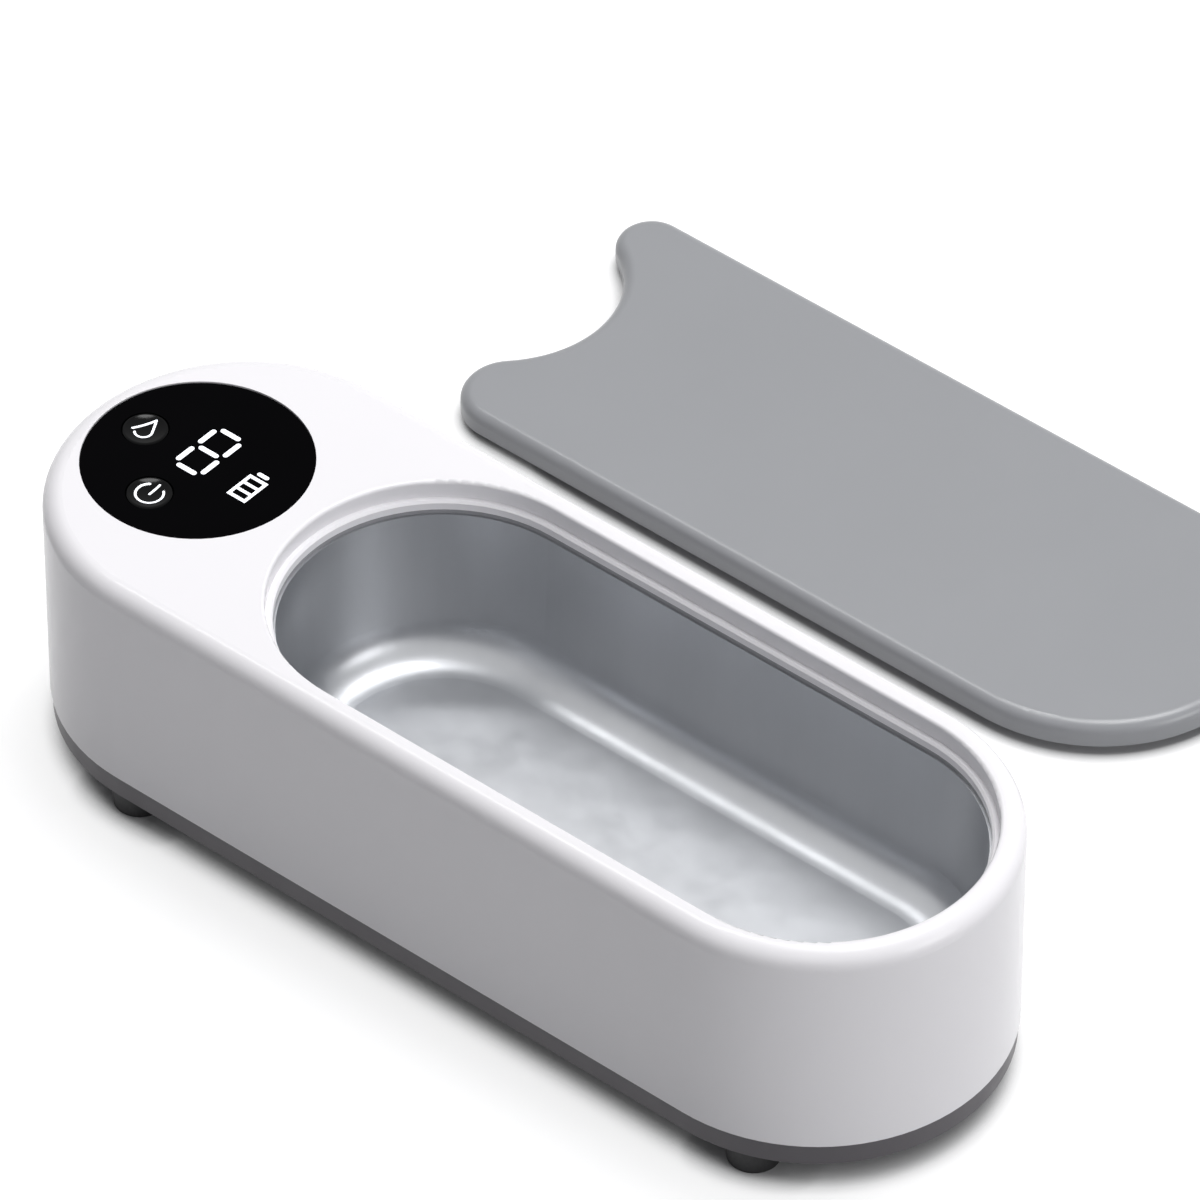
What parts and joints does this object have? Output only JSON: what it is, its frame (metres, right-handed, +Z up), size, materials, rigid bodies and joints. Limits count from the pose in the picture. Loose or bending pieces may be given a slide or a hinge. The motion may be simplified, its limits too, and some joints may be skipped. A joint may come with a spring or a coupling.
{
  "type": "ultrasonic glasses cleaner",
  "caption": "Long ultrasonic cleaner for spectacles with a steel tank, a round black key panel at one end and a notched grey lid laid beside it.",
  "frame": {"origin": "on the table, in the middle of the bounding box of the body and the lid that lies behind it", "axes": "+X along the body from the key panel to the far end of the tank, +Y from the body to the lid, +Z up"},
  "size_m": [0.237, 0.215, 0.064],
  "materials": {
    "white_shell": "glossy white moulded ABS",
    "charcoal_base": "satin charcoal moulded ABS",
    "grey_silicone": "soft grey silicone",
    "screw_steel": "zinc-plated steel",
    "tank_steel": "satin stainless steel sheet",
    "black_nylon": "matt black nylon",
    "piezo_ceramic": "fired ceramic with silvered faces",
    "epoxy": "cured epoxy",
    "black_panel": "glossy black acrylic",
    "black_key": "glossy black moulded ABS, dished",
    "switch_plunger": "pale acetal",
    "circuit_board": "green solder mask on glass-fibre board",
    "light_module": "white light chambers",
    "ferrite": "sintered ferrite",
    "copper_coil": "enamelled copper wire, wound",
    "capacitor_can": "sleeved aluminium can",
    "sink_aluminium": "extruded aluminium",
    "header_plastic": "natural nylon",
    "battery_wrap": "shrink-wrapped cell",
    "socket_steel": "nickel-plated pressed shell",
    "red_wire": "PVC-insulated wire",
    "ribbon_film": "flat film cable",
    "black_rubber": "soft black rubber",
    "grey_lid": "satin grey moulded ABS"
  },
  "bodies": {
    "cleaner": {"housing": "white_shell", "base": "charcoal_base", "base_seal": "grey_silicone", "base_screws": "screw_steel", "tank": "tank_steel", "tank_gasket": "grey_silicone", "tank_clamp": "black_nylon", "clamp_screws": "screw_steel", "transducer": "piezo_ceramic", "transducer_bond": "epoxy", "display_panel": "black_panel", "soak_switch": "black_nylon", "power_switch": "black_nylon", "display_board": "circuit_board", "display_screws": "screw_steel", "digit_module": "light_module", "gauge_module": "light_module", "driver_board": "circuit_board", "driver_screws": "screw_steel", "transformer_core": "ferrite", "transformer_coil": "copper_coil", "inductor": "ferrite", "capacitors": "capacitor_can", "power_transistor": "black_nylon", "heat_sink": "sink_aluminium", "controller_chip": "black_nylon", "headers": "header_plastic", "battery": "battery_wrap", "battery_cradle": "black_nylon", "charging_socket": "socket_steel", "socket_board": "circuit_board", "socket_screws": "screw_steel", "transducer_lead": "red_wire", "battery_lead": "red_wire", "charging_lead": "red_wire", "display_ribbon": "ribbon_film", "foot_front_left": "black_rubber", "foot_rear_left": "black_rubber", "foot_front_right": "black_rubber", "foot_rear_right": "black_rubber"},
    "soak_button": {"soak_key": "black_key", "soak_plunger": "switch_plunger"},
    "power_button": {"power_key": "black_key", "power_plunger": "switch_plunger"},
    "cover": {"lid": "grey_lid"}
  },
  "joints": [
    {"name": "soak_key_press", "type": "slide", "parent": "cleaner", "child": "soak_button", "axis": [0, 0, -1], "range_m": [0, 0.0005], "stiffness_N_per_m": 1000, "springref_m": -0.0003},
    {"name": "power_key_press", "type": "slide", "parent": "cleaner", "child": "power_button", "axis": [0, 0, -1], "range_m": [0, 0.0005], "stiffness_N_per_m": 1000, "springref_m": -0.0003},
    {"name": "cover_lift", "type": "slide", "parent": "cleaner", "child": "cover", "axis": [0, 0, 1], "range_m": [0, 0.08]}
  ]
}
